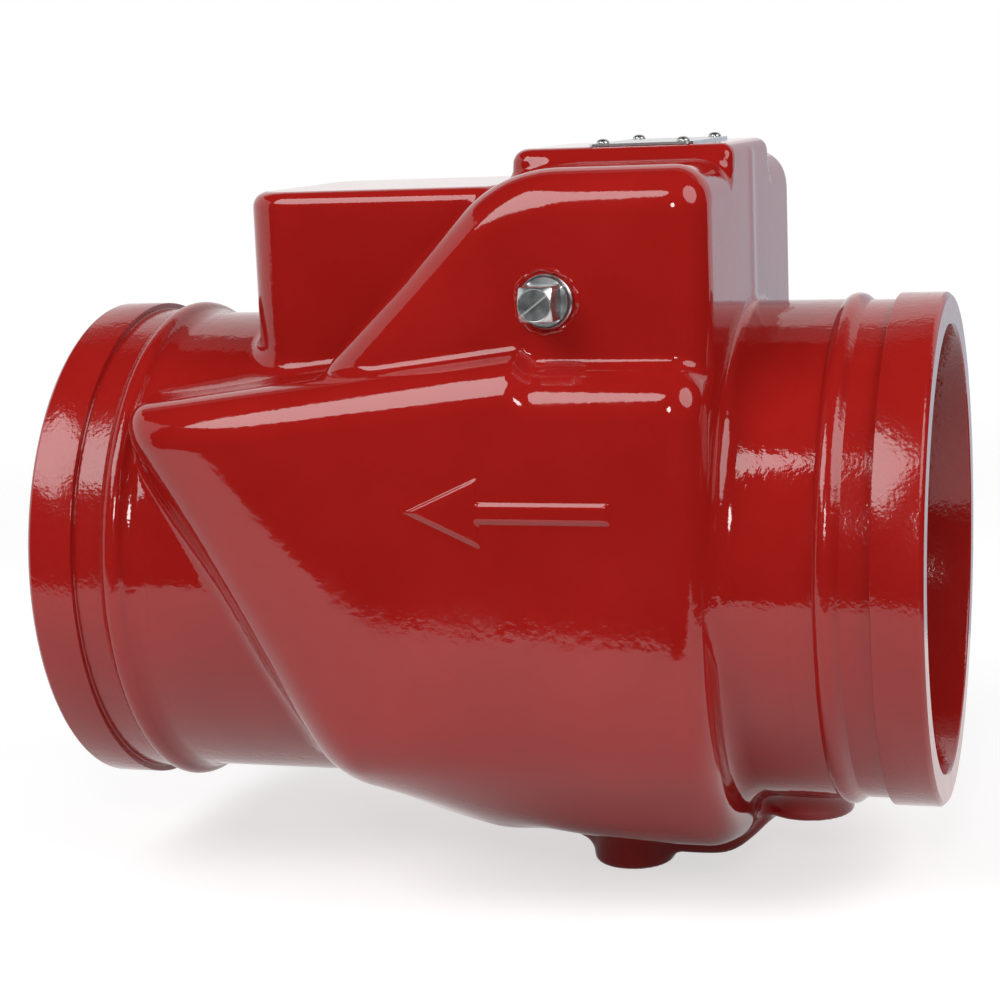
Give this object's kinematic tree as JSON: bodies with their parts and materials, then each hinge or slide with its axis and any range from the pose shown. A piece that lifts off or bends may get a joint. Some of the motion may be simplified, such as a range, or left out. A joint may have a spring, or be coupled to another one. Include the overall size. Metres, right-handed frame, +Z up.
{
  "type": "swing non-return valve",
  "caption": "Swing non-return valve with grooved pipe ends, a one-piece cast body and a spring-closed rubber-faced clapper on a hinge pin.",
  "frame": {"origin": "centre of the inlet end's face, on the pipe axis", "axes": "+X out of the inlet end along the pipe axis, against the flow; +Z up; +Y the far side of the picture"},
  "size_m": [0.2921, 0.188, 0.2494],
  "materials": {
    "enamel": "glossy red enamel over ductile iron",
    "bronze": "machined bronze",
    "rubber": "moulded black rubber",
    "coated_iron": "coated ductile iron",
    "stainless": "turned stainless steel",
    "zinc_steel": "bright turned steel",
    "plate_aluminium": "plain rolled aluminium"
  },
  "bodies": {
    "valve_body": {"body_casting": "enamel", "seat_ring": "bronze", "seat_seal": "rubber", "hinge_pin": "stainless", "spring_sleeves": "bronze", "spring_near": "stainless", "spring_far": "stainless", "plug_near": "zinc_steel", "plug_far": "zinc_steel", "drain_plug": "zinc_steel", "tapping_plug": "zinc_steel", "name_plate": "plate_aluminium", "drive_screws": "zinc_steel"},
    "clapper": {"clapper_disc": "coated_iron", "clapper_facing": "rubber", "facing_retainer": "stainless", "clapper_arm": "coated_iron", "arm_bushes": "bronze", "clapper_bolt": "stainless", "bolt_seal": "rubber", "lock_washer": "stainless", "clapper_nut": "stainless"}
  },
  "joints": [
    {"name": "clapper_swing", "type": "hinge", "parent": "valve_body", "child": "clapper", "pos_m": [-0.113, 0, 0.0903], "axis": [0, 1, 0], "range_deg": [0, 80], "stiffness_Nm_per_rad": 1.2, "springref_deg": -60.16, "deforming": ["spring_near", "spring_far"]}
  ]
}
